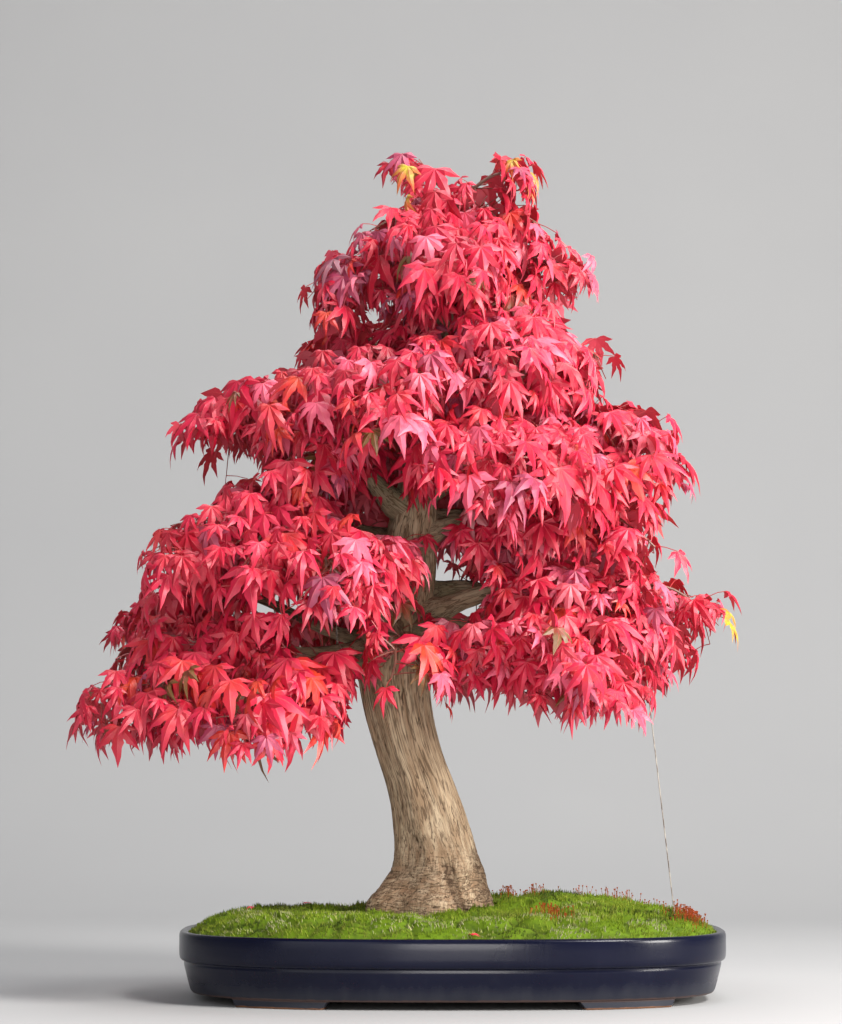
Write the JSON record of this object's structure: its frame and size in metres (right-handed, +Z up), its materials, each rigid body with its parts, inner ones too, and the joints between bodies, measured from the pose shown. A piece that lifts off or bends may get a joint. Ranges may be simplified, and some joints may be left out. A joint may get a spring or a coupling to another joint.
{
  "type": "japanese maple bonsai",
  "caption": "Informal upright maple bonsai in autumn leaf, with layered leafy branches on a leaning trunk, in a shallow glazed oval tray of soil and moss on corner feet.",
  "frame": {"origin": "on the surface that the tray's feet stand on, under the middle of the whole tree's bounds", "axes": "+Z up along the tree, +X to the right and +Y away from the viewer as seen from the tree's front"},
  "size_m": [0.6048, 0.4674, 0.747],
  "materials": {
    "glaze": "glossy dark blue glaze",
    "soil": "rough moist granular soil",
    "moss": "matt living moss",
    "bark": "rough fissured bark",
    "leaves": "thin satin leaf, red",
    "wire": "dull thin wire",
    "mesh": "dark plastic screen"
  },
  "bodies": {
    "root": {"tray": "glaze", "drain_screen_left": "mesh", "drain_screen_right": "mesh", "soil": "soil", "moss": "moss", "trunk_and_branches": "bark", "guy_wire_right": "wire", "guy_wire_left": "wire", "spray_left_low_1": "leaves", "spray_left_low_2": "leaves", "spray_left_low_3": "leaves", "spray_left_low_4": "leaves", "spray_left_low_front_1": "leaves", "spray_left_low_back_1": "leaves", "spray_left_low_back_2": "leaves", "spray_right_low_1": "leaves", "spray_right_low_2": "leaves", "spray_right_low_3": "leaves", "spray_right_low_4": "leaves", "spray_front_low_right_1": "leaves", "spray_front_low_right_2": "leaves", "spray_front_low_1": "leaves", "spray_back_low_1": "leaves", "spray_back_low_2": "leaves", "spray_back_low_right_1": "leaves", "spray_back_low_right_2": "leaves", "spray_left_mid_1": "leaves", "spray_left_mid_2": "leaves", "spray_left_mid_3": "leaves", "spray_front_left_mid_1": "leaves", "spray_front_left_mid_2": "leaves", "spray_back_left_mid_1": "leaves", "spray_back_left_mid_2": "leaves", "spray_right_mid_1": "leaves", "spray_right_mid_back_1": "leaves", "spray_right_mid_back_2": "leaves", "spray_left_upper_1": "leaves", "spray_left_upper_2": "leaves", "spray_left_upper_3": "leaves", "spray_right_upper_1": "leaves", "spray_right_upper_2": "leaves", "spray_right_upper_3": "leaves", "spray_front_right_mid_1": "leaves", "spray_front_right_mid_2": "leaves", "spray_back_mid_1": "leaves", "spray_back_mid_2": "leaves", "spray_front_upper_1": "leaves", "spray_front_upper_2": "leaves", "spray_back_upper_left_1": "leaves", "spray_right_high_1": "leaves", "spray_right_high_2": "leaves", "spray_back_upper_right_1": "leaves", "spray_left_high_1": "leaves", "spray_right_crown_1": "leaves", "spray_front_crown_1": "leaves", "spray_back_crown_1": "leaves", "spray_apex_left_1": "leaves", "spray_apex_right_1": "leaves", "spray_leader_left": "leaves", "spray_leader_right": "leaves"}
  },
  "joints": []
}
